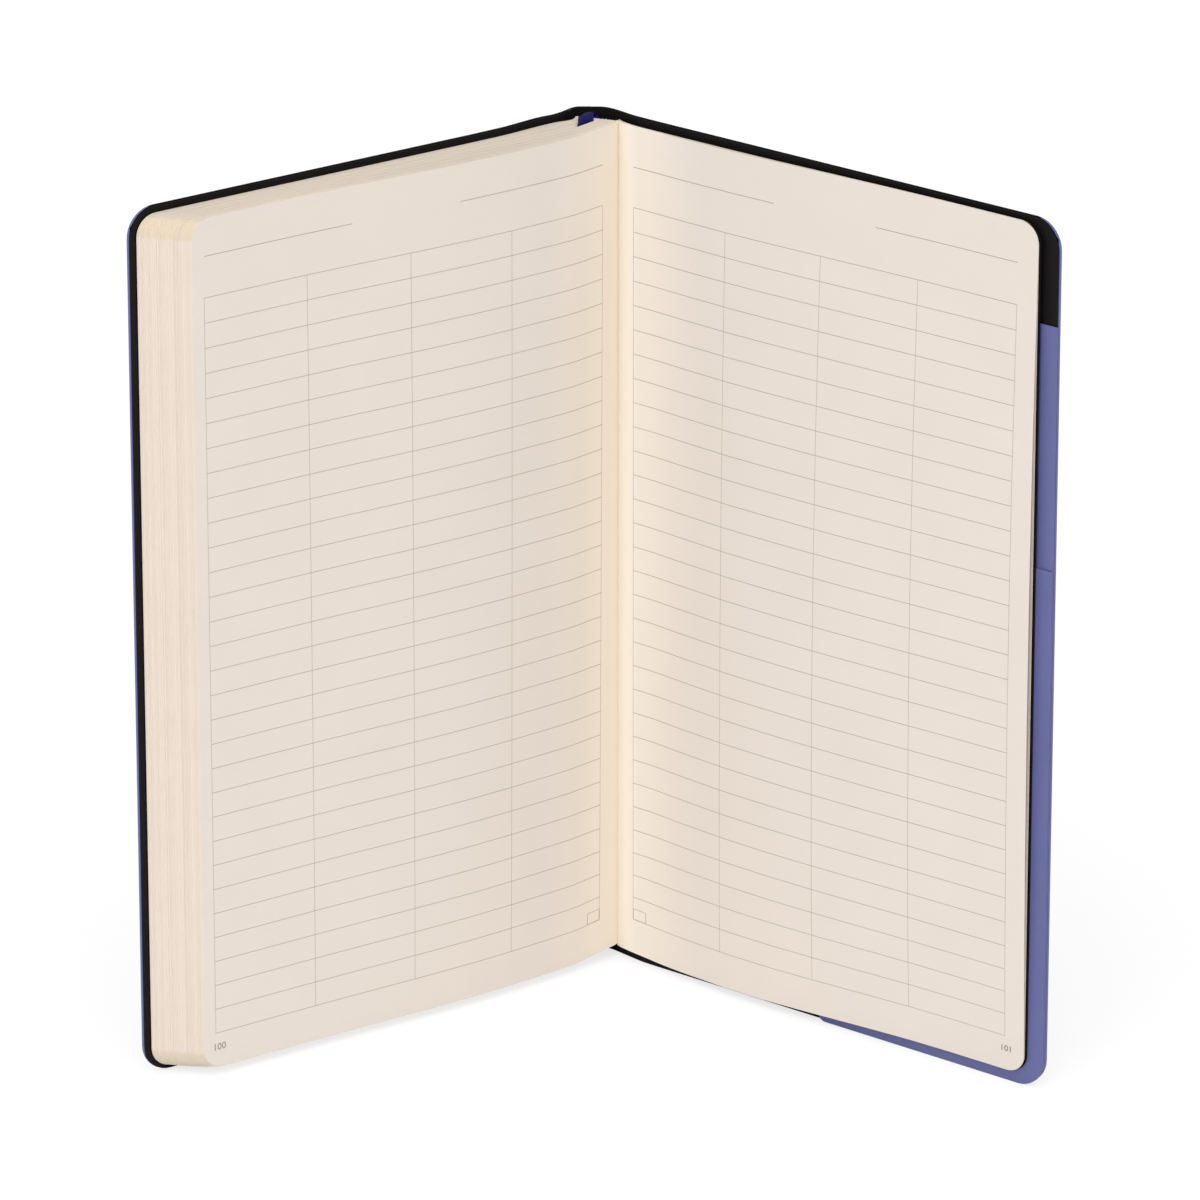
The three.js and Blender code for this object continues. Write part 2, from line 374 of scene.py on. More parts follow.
# the printed form, and what each page has of its own: widths of lines are half widths
formLook = {
    "ink": (146, 137, 128),
    "inkLevel": (0.62, 0.5),  # the least of it, and how much of it wears
    "wear": (3.0, 3),
    "soft": 0.03,
    "rows": 30, "bottom": 10.8, "top": 189.8,
    "ruleWidth": 0.085, "ruleInk": 0.95,
    "columns": 4, "columnStep": 27.5,
    "columnWidth": 0.08, "columnInk": 0.75,
    "overrun": 0.4,
    "titleHeight": 199.6,
    "titleWidth": 1.1,  # times a rule's
    "titleInset": 0.2, "titleLength": 39.6, "titleGap": 28.8,
    "boxWidth": 4.0, "boxHeight": 2.9,
    "boxInside": 0.9,  # the box's clear share
    # the gutter's painted light: where, from the root, the paper starts to be painted lighter and warmer, and the
    # painted highlight along the fold
    "gutterAt": (13, 12),  # how far from the root, and how soft
    "foldAt": (1.5, 2.0),
    "foldHighlightShare": 0.25,
}
# each page's gutter colour is painted light: lighter, warmer paper into the root
pageLooks = {
    "left": {"margin": 3.15, "width": 119, "columnStep": 27.6, "gutterLightShare": 0.5, "gutter": (241, 228, 205)},
    "right": {"margin": 5.4, "width": 117, "bottom": 10.2, "top": 188.8, "titleHeight": 198.6,
              "gutterLightShare": 0.35, "gutter": (247, 237, 222)},
}


def makePageFinish(name, side):
    # a ruled page: u runs in from the fore edge, v up from the tail
    form, finish = {**formLook, **pageLooks[side]}, Finish(name, paperLook)
    flat = finish.flat()
    u, v = finish.part(flat, 0), finish.part(flat, 1)
    near, far = form["margin"], form["margin"] + form["columns"] * form["columnStep"]
    low, high, over = form["bottom"], form["top"], form["overrun"]

    def lines(place, start, pitch, width):
        away = ((place - start) / pitch + 0.5).offMiddle() * pitch
        return 1 - away.rise(width, form["soft"])

    # the paper, painted lighter and warmer into the gutter and lighter still along the fold: painted light against
    # the shade there
    share, clouds, fibres = fibrous(finish, flat)
    gutter, fold = (u.rise(form["width"] - away, soft) for away, soft in (form["gutterAt"], form["foldAt"]))
    paintedLightShare = gutter * form["gutterLightShare"] + fold * form["foldHighlightShare"]
    colour = finish.blendColours(paintedLightShare, finish.tone(share), form["gutter"])

    # rows and columns
    rows = lines(v, low, (high - low) / form["rows"], form["ruleWidth"])
    rows = rows * u.between(near, far) * v.between(low - over, high + over)
    columns = lines(u, near, form["columnStep"], form["columnWidth"])
    columns = columns * v.between(low, high) * u.between(near - over, far + over)

    # two lines at the head
    titleWidth = form["ruleWidth"] * form["titleWidth"]
    titleLine = 1 - (v - form["titleHeight"]).absolute().rise(titleWidth, form["soft"])
    titleStart = near + form["titleInset"]
    titleEnd = titleStart + form["titleLength"]
    titles = titleLine * (u.between(titleStart, titleEnd) + u.between(titleEnd + form["titleGap"], far))

    # a small box at the foot
    halfWidth, halfHeight = form["boxWidth"] / 2, form["boxHeight"] / 2
    boxU = (u - (far - halfWidth)).absolute() / halfWidth
    boxV = (v - (low + halfHeight)).absolute() / halfHeight
    boxSide = boxU.atLeast(boxV)
    inBox = 1 - boxSide.rise(1.0, 0.01)
    boxLine = inBox * boxSide.rise(form["boxInside"], 0.02)

    ink = (rows * form["ruleInk"] + columns * form["columnInk"]) * (1 - inBox) + titles + boxLine
    least, worn = form["inkLevel"]
    ink = ink.atMost(1.0) * (least + finish.noise(flat, *form["wear"]) * worn)
    return finish.join(finish.blendColours(ink, colour, form["ink"]), fibres)


cardLook = {
    "dark": (122, 114, 102), "light": (168, 160, 146),
    "fixed": {"Roughness": 0.92},
    "fibres": (1.8, 6, 0.7),
    "depth": 0.05 * mm, "bump": 0.6,
}


def makeCardFinish():
    finish = Finish("cover_card", cardLook)
    fibres = finish.noise(finish.flat(), *cardLook["fibres"])
    return finish.join(finish.tone(fibres), fibres)


gauzeLook = {
    "dark": (150, 140, 122), "light": (226, 219, 205),
    "fixed": {"Roughness": 0.95},
    "threads": 1.1,  # a millimetre
    "opening": 0.28,
    "soft": 0.08,
    "depth": 0.12 * mm, "bump": 0.8,
}


def makeGauzeFinish():
    look = gauzeLook
    finish = Finish("spine_gauze", look)
    flat = finish.flat()
    threads = [finish.part(flat, axis) * look["threads"] for axis in (0, 1)]
    warp, weft = (thread.offMiddle().rise(look["opening"], look["soft"]) for thread in threads)
    weave = warp.atLeast(weft)
    return finish.join(finish.tone(weave), weave)


ribbonLook = {
    "dark": (2, 2, 52), "light": (7, 7, 92),
    # a painted highlight: lighter blue along both edges of the ribbon
    "edgeHighlight": (40, 42, 150),
    "fixed": {"Specular IOR Level": 0.1},
    "roughness": (0.45, 0.7),
    "threads": (5.5, 7.0),  # a millimetre, across and along
    "warpShare": 1.2, "weftShare": 0.5,
    "middle": 3.0,
    "edgeAt": 2.55, "edgeSoft": 0.1, "edgeShare": 0.35,
    "depth": 0.05 * mm, "bump": 0.8,
}


def makeRibbonFinish():
    look = ribbonLook
    finish = Finish("ribbon_satin", look)
    flat = finish.flat()
    across, along = finish.part(flat, 0), finish.part(flat, 1)
    warp, weft = look["threads"]
    weave = (across * warp).offMiddle() * look["warpShare"] + (along * weft).offMiddle() * look["weftShare"]
    # both edges painted lighter: a painted highlight where they catch the light
    edgeHighlight = (across - look["middle"]).absolute().rise(look["edgeAt"], look["edgeSoft"])
    colour = finish.blendColours(edgeHighlight * look["edgeShare"], finish.tone(weave), look["edgeHighlight"])
    return finish.join(colour, weave, weave)


inkLook = {"dark": (104, 96, 88), "light": (140, 132, 122), "fixed": {"Roughness": 0.8}, "wear": (6.0, 3)}


def makeInkFinish():
    finish = Finish("number_ink", inkLook)
    return finish.join(finish.tone(finish.noise(finish.flat(), *inkLook["wear"])))


# camera, lights, floor
cameraPlace = {"place": (0.00064, -2.046, 0.87375), "tilt": 69.0, "lens": 280, "sensor": 36, "farthest": 20}
floorLook = {
    "size": 30,
    "glow": 0.75,  # how much of plain white the camera sees in it
    "fixed": {"Base Color": (0.97, 0.97, 0.97, 1), "Roughness": 0.9, "Specular IOR Level": 0.0},
}
studio = {
    "worldLight": 0.8,
    "keyAim": (0.2, 0.75, -1.0), "keyPower": 1.5,
    "fillAim": (-0.7, 0.55, -0.8), "fillPower": 0.25,
    "softness": 50,
}


def newObject(name, data):
    made = bpy.data.objects.new(name, data)
    bpy.context.scene.collection.objects.link(made)
    return made


def makeStage():
    bm = bmesh.new()
    bmesh.ops.create_grid(bm, x_segments=1, y_segments=1, size=floorLook["size"] / 2)
    mesh = bpy.data.meshes.new("floor")
    bm.to_mesh(mesh)
    bm.free()
    floor = newObject("floor", mesh)
    finish = Finish("floor_white", floorLook)
    cameraRay = finish.node("LightPath")
    white = finish.node("Emission", None, {"Color": (1, 1, 1, 1), "Strength": 1.0})
    plain = Wire(finish, finish.shader.outputs[0])
    inputs = {0: cameraRay * floorLook["glow"], 1: plain, 2: white}
    mixed = finish.node("MixShader", None, inputs)
    finish.tree.links.new(mixed.socket, finish.tree.nodes["Material Output"].inputs["Surface"])
    mesh.materials.append(finish.material)


def makeWorld():
    # the same light from all round; the camera, and glass, see plain white
    world = bpy.data.worlds.new("studio")
    bpy.context.scene.world = world
    nodes = Nodes(world)
    seen = nodes.node("LightPath").atLeast(nodes.node("LightPath", output="Is Transmission Ray"))
    level = nodes.node("MapRange", None, {"Value": seen, "To Min": studio["worldLight"], "To Max": 1.0})
    background = nodes.tree.nodes["Background"]
    background.inputs["Color"].default_value = (1, 1, 1, 1)
    nodes.tree.links.new(level.socket, background.inputs["Strength"])


def makeLamp(name, aim, power):
    # a large far lamp, so that the floor is equally bright out to its edges
    data = bpy.data.lights.new(name, "SUN")
    data.angle = math.radians(studio["softness"])
    data.energy = power
    lamp = newObject(name, data)
    lamp.location = -Vector(aim)
    lamp.rotation_euler = Vector(aim).to_track_quat("-Z", "Y").to_euler()


def makeCamera():
    data = bpy.data.cameras.new("camera")
    data.lens = cameraPlace["lens"]
    data.sensor_width = cameraPlace["sensor"]
    data.clip_end = cameraPlace["farthest"]
    camera = newObject("camera", data)
    camera.location = cameraPlace["place"]
    camera.rotation_euler = (math.radians(cameraPlace["tilt"]), 0, 0)
    bpy.context.scene.camera = camera
    bpy.context.scene.view_settings.view_transform = "Standard"


makeCamera()
makeWorld()
makeLamp("key", studio["keyAim"], studio["keyPower"])
makeLamp("fill", studio["fillAim"], studio["fillPower"])
makeStage()
print("camera, lights and floor are in place")

finishes = {
    "skin": makeSkinFinish(),
    "rim": makeLiningFinish("cover_rim", 0.1),
    "lining": makeLiningFinish("black_lining"),
    "paper": makePaperFinish(),
    "edge": makeLeafEdgeFinish(),
    "card": makeCardFinish(),
    "gauze": makeGauzeFinish(),
    "ribbon": makeRibbonFinish(),
    "ink": makeInkFinish(),
    "leftPage": makePageFinish("left_page", "left"),
    "rightPage": makePageFinish("right_page", "right"),
}
print("finishes made:", len(finishes))


def sheetSize(start, end, bottom, top, radius, **more):
    # radius rounds the fore corners; headRadius and rootRadius say where a corner is different
    return {"from": start, "to": end, "bottom": bottom, "top": top, "radius": radius, **more}


def startSheet(size, columns, rows):
    # a flat outline with round corners: x along the sheet, y into its thickness, z up, cut into a grid
    bm = bmesh.new()
    places = [(x, z) for z in (size["bottom"], size["top"]) for x in (size["from"], size["to"])]
    tailRoot, tailFore, headRoot, headFore = (bm.verts.new((x, 0, z)) for x, z in places)
    bm.faces.new((tailRoot, tailFore, headFore, headRoot))
    rounds = (
        (tailFore, size["radius"]),
        (headFore, size.get("headRadius", size["radius"])),
        (tailRoot, size.get("rootRadius", 0)),
    )
    for corner, radius in rounds:
        if radius > 0:
            bmesh.ops.bevel(bm, geom=[corner], offset=radius, offset_type="OFFSET", affect="VERTICES",
                            segments=9, profile=0.5, material=-1)
    for axis, places in ((0, columns), (2, rows)):
        for place in places:
            point, normal = Vector((0, 0, 0)), Vector((0, 0, 0))
            point[axis], normal[axis] = place, 1
            geometry = bm.verts[:] + bm.edges[:] + bm.faces[:]
            bmesh.ops.bisect_plane(bm, geom=geometry, dist=1e-7, plane_co=point, plane_no=normal)
    return bm


def thicken(bm, thickness):
    made = bmesh.ops.extrude_face_region(bm, geom=bm.faces[:])
    moved = [item for item in made["geom"] if isinstance(item, bmesh.types.BMVert)]
    bmesh.ops.translate(bm, verts=moved, vec=(0, thickness, 0))
    bmesh.ops.recalc_face_normals(bm, faces=bm.faces[:])


def roundRim(bm, radius, sharpAngle=1.2):
    sharp = [e for e in bm.edges if len(e.link_faces) == 2 and e.calc_face_angle() > sharpAngle]
    bmesh.ops.bevel(bm, geom=sharp, offset=radius, offset_type="OFFSET", affect="EDGES", segments=2,
                    profile=0.5, material=-1, clamp_overlap=True)


def unroll(bm, uOf):
    # keeps each corner's flat place as the piece's own coordinates
    layer = bm.loops.layers.uv.new("flat")
    for face in bm.faces:
        for loop in face.loops:
            loop[layer].uv = (uOf(loop.vert.co), loop.vert.co.z)


def shapeSheet(bm, toPlace):
    for vert in bm.verts:
        vert.co = toPlace(vert.co.x, vert.co.y, vert.co.z)


def finishPiece(name, bm, finishNames, slotName, smooth=True):
    bmesh.ops.recalc_face_normals(bm, faces=bm.faces[:])
    mesh = bpy.data.meshes.new(name)
    bm.to_mesh(mesh)
    bm.free()
    for polygon in mesh.polygons:
        polygon.use_smooth = smooth
    if smooth:
        mesh.set_sharp_from_angle(angle=math.radians(40))
    for finishName in finishNames:
        mesh.materials.append(finishes[finishName])
    piece = newObject(name, mesh)
    return piece


def steps(start, end, count):
    # the places between a start and an end, without those two
    return [mix(start, end, n / count) for n in range(1, count)]


def columnsAlong(line, reach, close, wide):
    # close together as far as the reach, wide apart beyond it
    return steps(0, reach, close) + steps(reach, line.length, wide)


def place3d(spot, height=0):
    return Vector((spot.x, spot.y, height))


# covers: each layer follows the same curve round the spine and out along its panel
cover = {
    "middle": -1.5 * mm,  # where the two halves of the spine meet
    "settled": 22 * mm,  # how far out a panel lies flat again
    "gap": 0.05 * mm,
    "spineGap": 0.02 * mm,  # between skin and lining where there is no card
    "cut": 1.2 * mm,  # the spine's own piece ends this far before the front fold
    "cardStart": 4 * mm,
    "liningRise": 2 * mm,
    "radius": 7 * mm,
    "lip": 0.42 * mm,
    "rim": 0.11 * mm,
    "columns": (26 * mm, 40, 12),  # close as far as this, how many there, and how many beyond
    "rows": 8,
    "frontBends": (-6.5, -0.2, 0.1, 5.5),  # where they start and end, in millimetres past the cut
    "backBend": (-4, 3),  # and past the back fold
}
coverLayers = {
    "Skin": {"thickness": 0.5 * mm, "inset": 0, "slot": "skin", "finishes": ("skin", "rim")},
    "Card": {"thickness": 0.4 * mm, "inset": 0.6 * mm, "slot": "card", "finishes": ("card",) * 2},
    "Lining": {"thickness": 0.15 * mm, "inset": 0.12 * mm, "slot": "lining", "finishes": ("lining",) * 2},
}

# how each cover leaves the flat of the spine; the pulls of its curves are in millimetres
coverShapes = {
    "front": {"flatEnd": -4.2 * mm, "out": 5.4 * mm, "proud": 1.3 * mm, "lean": -0.14,
              "pulls": (-2.0, 3.9, 4, 6), "count": 16},
    "back": {"flatEnd": 0.4 * mm, "out": 0, "proud": 0.1 * mm, "lean": 0.04,
             "pulls": (3.2, 4.2, 5, 6), "count": 12},
}


def makeCoverLine(shape, fold, along, inward, edge):
    flatEnd = Vector((shape["flatEnd"], spineBack))
    shoulder = fold + along * shape["out"] - inward * shape["proud"]
    heading = (along + inward * shape["lean"]).normalized()
    settled = fold + along * cover["settled"]
    pulls = shape["pulls"]
    afterFlat, beforeShoulder = flatEnd + plan(pulls[0], 0), shoulder - heading * pulls[1] * mm
    afterShoulder, beforeSettled = shoulder + heading * pulls[2] * mm, settled - along * pulls[3] * mm
    points = [Vector((cover["middle"], spineBack))]
    points += curve(flatEnd, afterFlat, beforeShoulder, shoulder, 24)
    points += curve(shoulder, afterShoulder, beforeSettled, settled, shape["count"])[1:]
    return PlanLine(points + [fold + along * edge])


frontLine = makeCoverLine(coverShapes["front"], frontFold, frontAlong, frontIn, frontEdge)
backLine = makeCoverLine(coverShapes["back"], backFold, backAlong, backIn, backEdge)
frontCut = frontLine.nearest(frontFold) - cover["cut"]


def coverPlace(line, side):
    # side is 1 where the reader is on the right of the line's heading, -1 on the left
    def toPlace(distance, depth, height):
        spot, heading = line.at(distance)
        inward = Vector((heading.y, -heading.x)) * side
        return place3d(spot + inward * depth, height)
    return toPlace


def turnForeEdge(bm, size, thickness):
    # the skin turns over the fore edge and its corners
    radius, near = size["radius"], 0.02 * mm
    low, high = size["bottom"] + radius, size["top"] - radius
    for vert in bm.verts:
        fromEdge, pastStart = size["to"] - vert.co.x, vert.co.x - (size["to"] - radius)
        if vert.co.y > 0.5 * thickness and fromEdge < radius:
            rise = max(low - vert.co.z, vert.co.z - high, 0)
            out = math.hypot(pastStart, rise)
            if abs(out - radius) < near or (rise == 0 and fromEdge < near):
                vert.co.y += cover["lip"] * pastStart / radius


def markDarkFaces(bm, size):
    # the inner side, and the head and tail edges as far as the turned fore edge
    straightEnd = size["to"] - 0.8 * size["radius"]
    innerEnd = size["to"] - coverLayers["Card"]["inset"]
    for face in bm.faces:
        centre = face.calc_center_median()
        fromEnd = min(size["top"] - centre.z, centre.z - size["bottom"])
        rim = fromEnd < 0.2 * mm and centre.x < straightEnd
        inner = face.normal.y > 0.5 and centre.x < innerEnd
        face.material_index = 1 if rim or inner else 0


def makeCoverLayer(name, key, line, side, depthAt, start, end=None):
    # out to the fore edge, or with square corners to a given end
    layer = coverLayers[key]
    inset, thickness = layer["inset"], layer["thickness"]
    turned, radius = key == "Skin" and not end, 0 if end else cover["radius"] - inset
    size = sheetSize(start, end or line.length - inset, inset, coverTop - inset, radius)
    columns = [x for x in columnsAlong(line, *cover["columns"]) if start < x < size["to"]]
    if turned:
        columns.append(line.length - coverLayers["Card"]["inset"])
    bm = startSheet(size, columns, steps(size["bottom"], size["top"], cover["rows"]))
    thicken(bm, thickness)
    if turned:
        turnForeEdge(bm, size, thickness)
    bm.normal_update()
    if key == "Skin":
        roundRim(bm, cover["rim"])
        bm.normal_update()
    markDarkFaces(bm, size)
    unroll(bm, lambda co: co.x)
    toPlace = coverPlace(line, side)
    shapeSheet(bm, lambda x, y, z: toPlace(x, y + depthAt(x), z))
    return finishPiece(name, bm, layer["finishes"], layer["slot"])


def makeCovers():
    skinDepth, cardThickness = (coverLayers[key]["thickness"] for key in ("Skin", "Card"))
    cardDepth = skinDepth + cover["gap"]
    liningDepth = cardDepth + cardThickness + cover["gap"]
    made = {}
    for label, line, side, fold in (("front", frontLine, -1, frontFold), ("back", backLine, 1, backFold)):
        cutAt = frontCut if label == "front" else 0
        foldAt = line.nearest(fold)
        cardAt = foldAt + cover["cardStart"]

        def liningAt(distance, rise=(foldAt - cover["liningRise"], cardAt)):
            return mix(skinDepth + cover["spineGap"], liningDepth, ease(*rise, distance))

        depths = {"Skin": lambda distance: 0, "Lining": liningAt, "Card": lambda distance: cardDepth}
        for key, word in (("Skin", "CoverSkin"), ("Lining", "Pastedown"), ("Card", "Card")):
            start = cardAt if key == "Card" else cutAt
            made[label + key] = makeCoverLayer(label + word, key, line, side, depths[key], start)
        if label == "front":
            for key in ("Skin", "Lining"):
                made["spine" + key] = makeCoverLayer("spine" + key, key, line, side, depths[key], 0, cutAt)
    return made


def rideCovers(made):
    places = [place3d(frontLine.at(frontCut + past * mm)[0]) for past in cover["frontBends"]]
    for key in ("spineSkin", "spineLining"):
        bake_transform(made[key])
    for key in ("frontSkin", "frontLining"):
        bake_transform(made[key])
    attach(made["frontCard"], "front_cover")
    for key in ("backSkin", "backLining"):
        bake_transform(made[key])
    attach(made["backCard"], "back_cover")
    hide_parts("spine_skin")
    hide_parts("spine_liner")
    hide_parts("front_cover_skin")
    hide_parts("front_pastedown")
    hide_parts("front_card")
    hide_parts("back_cover_skin")
    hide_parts("back_pastedown")
    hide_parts("back_card")


covers = makeCovers()
rideCovers(covers)
print("covers made")

# the block of leaves on the left
block = {
    "leaves": 6,  # shown in each section
    "leafGap": 0.012 * mm,
    "columns": (24 * mm, 16, 9),
    "rows": 7,
    "backLeft": -2.2 * mm,  # back of the first section's fold, and of the last one's
    "backRight": -5.6 * mm,
    "landFirst": 2.5 * mm,  # how far out the bend ends on the first and on the last section
    "landLast": 10 * mm,
    "foldPull": (0.75, 0.25),
    "leafPull": (0.75, 0.6),
    "foreSquare": 1.1 * mm,
    "foreStep": 0.68 * mm,
    "radius": 5.1 * mm,
    "follow": 1.1 * mm,  # how far the first leaves bulge with the cover beside the spine
    "followStart": (1 * mm, 8 * mm),
    "followEnd": (8 * mm, 26 * mm),
    "settle": 2.5,  # how soon the leaves under the page lie flat
    "tailRise": 0.9 * mm,
    "curl": {"left": 1.6 * mm, "right": 1.0 * mm},
    "curlReach": 15 * mm,
    "curlHeight": 9 * mm,
    "seed": 190,
    "uneven": (0.12, 0.1, 0.12),  # the cut at the fore edge, tail and head, in millimetres
    "tuck": 0.3 * mm,  # how far a section's outer leaves start past its middle ones
    "bendBack": (1.5, 4.0),  # the bend's way behind and past its line, first and last section
    "bendOut": (2.0, 9.0),
}
leafPitch = sectionPitch / block["leaves"]
leafThickness = leafPitch - block["leafGap"]

# how far the open pages stand off their flat places, in millimetres, by the way out from the root
pageForm = {
    "left": {
        "out": (0, 9.5, 18, 30, 45, 62, 80, 95, 112, 125),
        "tail": (0, -1.5, -1.1, -0.2, 0.5, 0.4, 0.1, 0, 0, 0),
        "middle": (0, -0.6, 0.1, 0.9, 1.4, 1.2, 0.5, 0.2, 0.1, 0.1),
        "head": (0, 0.1, 0.9, 1.5, 1.6, 1.0, 0.2, -0.1, 0, 0),
    },
    "right": {
        "out": (0, 10, 20, 32, 48, 62, 78, 92, 108, 125),
        "tail": (0, -0.3, 0.6, 1.4, 1.7, 1.3, 0.7, 0.3, 0.2, 0.2),
        "middle": (0, -0.1, 0.8, 1.9, 2.5, 2.7, 2.6, 2.2, 1.8, 1.5),
        "head": (0, 0.0, 0.3, 0.4, 0.3, 0.1, 0, 0, 0, 0.1),
    },
}


def alongTable(places, values, place):
    # a smooth curve through the table's values
    last = len(places) - 1
    index = min(max(bisect_right(places, place) - 1, 0), last - 1)

    def slope(n):
        low, high = max(n - 1, 0), min(n + 1, last)
        return (values[high] - values[low]) / (places[high] - places[low])

    span = places[index + 1] - places[index]
    share = min(max((place - places[index]) / span, 0), 1)
    rest = 1 - share
    ends = values[index] * (1 + 2 * share) * rest ** 2 + values[index + 1] * (3 - 2 * share) * share ** 2
    return ends + span * share * rest * (slope(index) * rest - slope(index + 1) * share)


def formLift(side, distance, height):
    form = pageForm[side]
    out = distance / mm
    tail, middle, head = (alongTable(form["out"], form[key], out) for key in ("tail", "middle", "head"))
    up = height / leafTop
    # the three values, joined by a smooth curve from tail to head
    return (tail * (1 - up) * (1 - 2 * up) + middle * 4 * up * (1 - up) + head * up * (2 * up - 1)) * mm


def tailFade(height):
    # 1 at the leaves' tails, 0 from a twelfth of the way up
    return max(1 - height * 12 / leafTop, 0)


def tailCurl(side, distance, height):
    # the leaves' tails rise into the gutter, more on the left than on the right
    fade = (1 - ease(0, block["curlReach"], distance)) * max(1 - height / block["curlHeight"], 0)
    return block["curl"][side] * fade


def leftLine(depth):
    share = depth / blockDepth
    rootX = firstBend.x + depth
    root = Vector((rootX, mix(block["backLeft"], block["backRight"], share)))
    onLeaf = firstBend + frontIn * depth
    corner = onLeaf + frontAlong * ((onLeaf.x - rootX) / -frontAlong.x)
    land = onLeaf + frontAlong * mix(block["landFirst"], block["landLast"], share)
    foldHandle = root.lerp(corner, mix(*block["foldPull"], share))
    leafHandle = land.lerp(corner, mix(*block["leafPull"], share))
    reach = frontEdge - block["foreSquare"] - share * sectionCount * block["foreStep"]
    return PlanLine(curve(root, foldHandle, leafHandle, land, 22) + [onLeaf + frontAlong * reach])


def leftLift(depth):
    # the upper leaves stand off the block at the tail; the first ones follow the cover's bulge
    share = depth / blockDepth

    def lift(distance, height):
        bulge = ease(*block["followStart"], distance) * (1 - ease(*block["followEnd"], distance))
        stand = formLift("left", distance, height) * share ** block["settle"]
        return stand - block["follow"] * bulge * (1 - share) ** 2
    return lift


def makeLeaf(bm, line, size, thickness, side, lift, tone):
    # one leaf, bent along its line and merged into the piece's mesh
    rows = steps(size["bottom"], size["top"], block["rows"])
    leaf = startSheet(size, columnsAlong(line, *block["columns"]), rows)
    thicken(leaf, thickness)
    leaf.normal_update()
    for face in leaf.faces:
        face.material_index = 0 if abs(face.normal.y) > 0.5 else 1
    unroll(leaf, lambda co: size["to"] - co.x)
    layer = leaf.verts.layers.float.new("leafTone")
    toPlace = coverPlace(line, -1 if side == "left" else 1)
    for vert in leaf.verts:
        vert[layer] = tone
        x, y, z = vert.co
        vert.co = toPlace(x, y + lift(x, z), z + tailCurl(side, x, z))
    mesh = bpy.data.meshes.new("leaf")
    leaf.to_mesh(mesh)
    leaf.free()
    bm.from_mesh(mesh)
    bpy.data.meshes.remove(mesh)


def leftSize(line, depth, start=0):
    tail = block["tailRise"] * (depth / blockDepth) ** 2
    return sheetSize(start, line.length, leafBottom + tail, leafTop, block["radius"])


def makeSection(number):
    bm = bmesh.new()
    middle = (block["leaves"] - 1) / 2
    fore, tail, head = block["uneven"]
    for leaf in range(block["leaves"] - (number == sectionCount)):
        depth = (number - 1) * sectionPitch + leaf * leafPitch + block["leafGap"]
        line = leftLine(depth)
        tone = random.random()
        size = leftSize(line, depth, ((leaf - middle) / middle) ** 2 * block["tuck"])
        size["to"] += random.uniform(-fore, fore) * mm
        size["bottom"] += random.uniform(0, tail) * mm
        size["top"] -= random.uniform(0, head) * mm
        makeLeaf(bm, line, size, leafThickness, "left", leftLift(depth), tone)
    return finishPiece("section%02dLeaves" % number, bm, ("paper", "edge"), "paper")


# page numbers; "in" is how far in from the fore edge their middles stand
numberLook = {
    "size": 2.4 * mm,
    "height": 6.5 * mm,
    "thickness": 0.008 * mm,
    "proud": 0.03 * mm,
    "in": {"left": 4.1 * mm, "right": 5.0 * mm},
}


def makePageNumber(name, digits, side, line, thickness, lift, tailRise=0):
    # a plain page number lying on the page; its digits run from left to right
    letters = bpy.data.curves.new(name, "FONT")
    letters.body = digits
    letters.size = numberLook["size"]
    letters.align_x = "CENTER"
    letters.resolution_u = 3
    outline = bpy.data.objects.new(name, letters)
    mesh = bpy.data.meshes.new_from_object(outline)
    bm = bmesh.new()
    bm.from_mesh(mesh)
    bpy.data.objects.remove(outline)
    bmesh.ops.solidify(bm, geom=bm.faces[:], thickness=numberLook["thickness"])
    middle, surface = line.length - numberLook["in"][side], thickness + numberLook["proud"]
    toward = -1 if side == "left" else 1
    toPlace = coverPlace(line, toward)
    for vert in bm.verts:
        vert.co = Vector((middle + toward * vert.co.x, vert.co.z, numberLook["height"] + vert.co.y))
    unroll(bm, lambda co: co.x)

    def onPage(x, y, z):
        return toPlace(x, surface + y + lift(x, z), z + tailRise * tailFade(z))

    shapeSheet(bm, onPage)
    return finishPiece(name, bm, ("ink",), "paper", smooth=False)


def makeLeftPage():
    depth = blockDepth - leafPitch + block["leafGap"]
    line, lift = leftLine(depth), leftLift(depth)
    bm = bmesh.new()
    makeLeaf(bm, line, leftSize(line, blockDepth), leafThickness, "left", lift, 0.5)
    number = makePageNumber("leftNumber", "100", "left", line, leafThickness, lift)
    return finishPiece("leftPage", bm, ("leftPage", "edge"), "paper"), number


def bindSection(piece, number):
    # the section stays where it was made; where its bend would start and end is worked out, and not used
    middle = pivots[number - 1]
    share = number / sectionCount
    start = place3d(middle + plan(0, mix(*block["bendBack"], share)))
    end = place3d(middle + frontAlong * mix(*block["bendOut"], share) * mm)
    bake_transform(piece)


def makeBlock():
    random.seed(block["seed"])
    for number in range(1, sectionCount + 1):
        piece = makeSection(number)
        bindSection(piece, number)
        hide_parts("section_%02d_fold" % number, "section_%02d_leaves" % number)
    for page in makeLeftPage():
        bindSection(page, sectionCount)


makeBlock()
print("left block made:", sectionCount, "sections")

# leaves on the right, the lining leaf behind them and the pocket
right = {
    "rootX": 5.25 * mm,
    "rootY": -4.9 * mm,
    "rootStep": 0.1 * mm,
    "land": 7 * mm,
    "pull": (0.3, 0.6),
    "radius": 5.1 * mm,
    "tone": 0.3,
    "skew": (25 * mm, 95 * mm),  # the leaves stand higher from here on
    "tailRise": (0.8 * mm, 2.0 * mm),  # at the spine and at the fore edge
    "headRise": (0, 0.6 * mm),
    "bendEnd": (2.8 * mm, 2 * mm),  # where the leaves have turned to the cover: inwards and out
}

